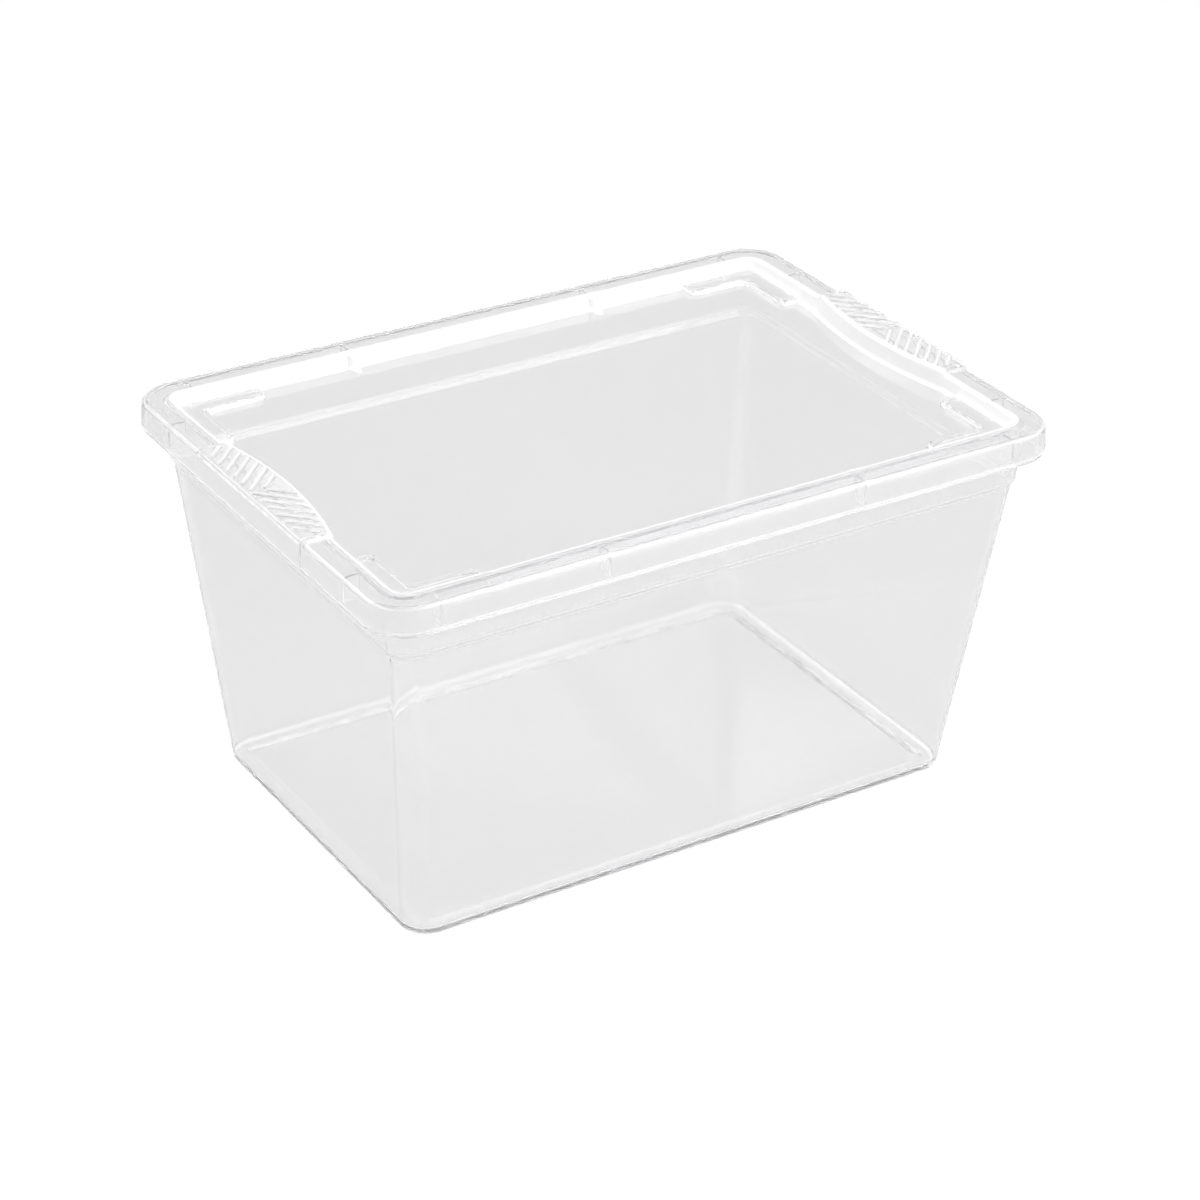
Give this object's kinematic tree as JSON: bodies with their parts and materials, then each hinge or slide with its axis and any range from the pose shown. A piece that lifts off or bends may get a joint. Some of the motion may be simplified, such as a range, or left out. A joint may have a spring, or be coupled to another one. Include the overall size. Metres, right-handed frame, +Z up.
{
  "type": "stackable storage bin",
  "caption": "Clear plastic storage bin with leaning walls and a lift-off lid, whose sunken top takes the foot of the same bin stacked on it.",
  "frame": {"origin": "centre of the base, at the level of the surface that the bin stands on", "axes": "+X along the long side, +Y along the short side, +Z up out of the bin"},
  "size_m": [0.3916, 0.2714, 0.2097],
  "materials": {
    "bin_plastic": "clear, glossy, slightly hazy moulded polypropylene",
    "lid_plastic": "clear, glossy moulded polypropylene with a light haze"
  },
  "bodies": {
    "bin": {"bin_body": "bin_plastic"},
    "lid": {"lid": "lid_plastic"}
  },
  "joints": [
    {"name": "lid_lift", "type": "slide", "parent": "bin", "child": "lid", "axis": [0, 0, 1], "range_m": [0, 0.2]}
  ]
}
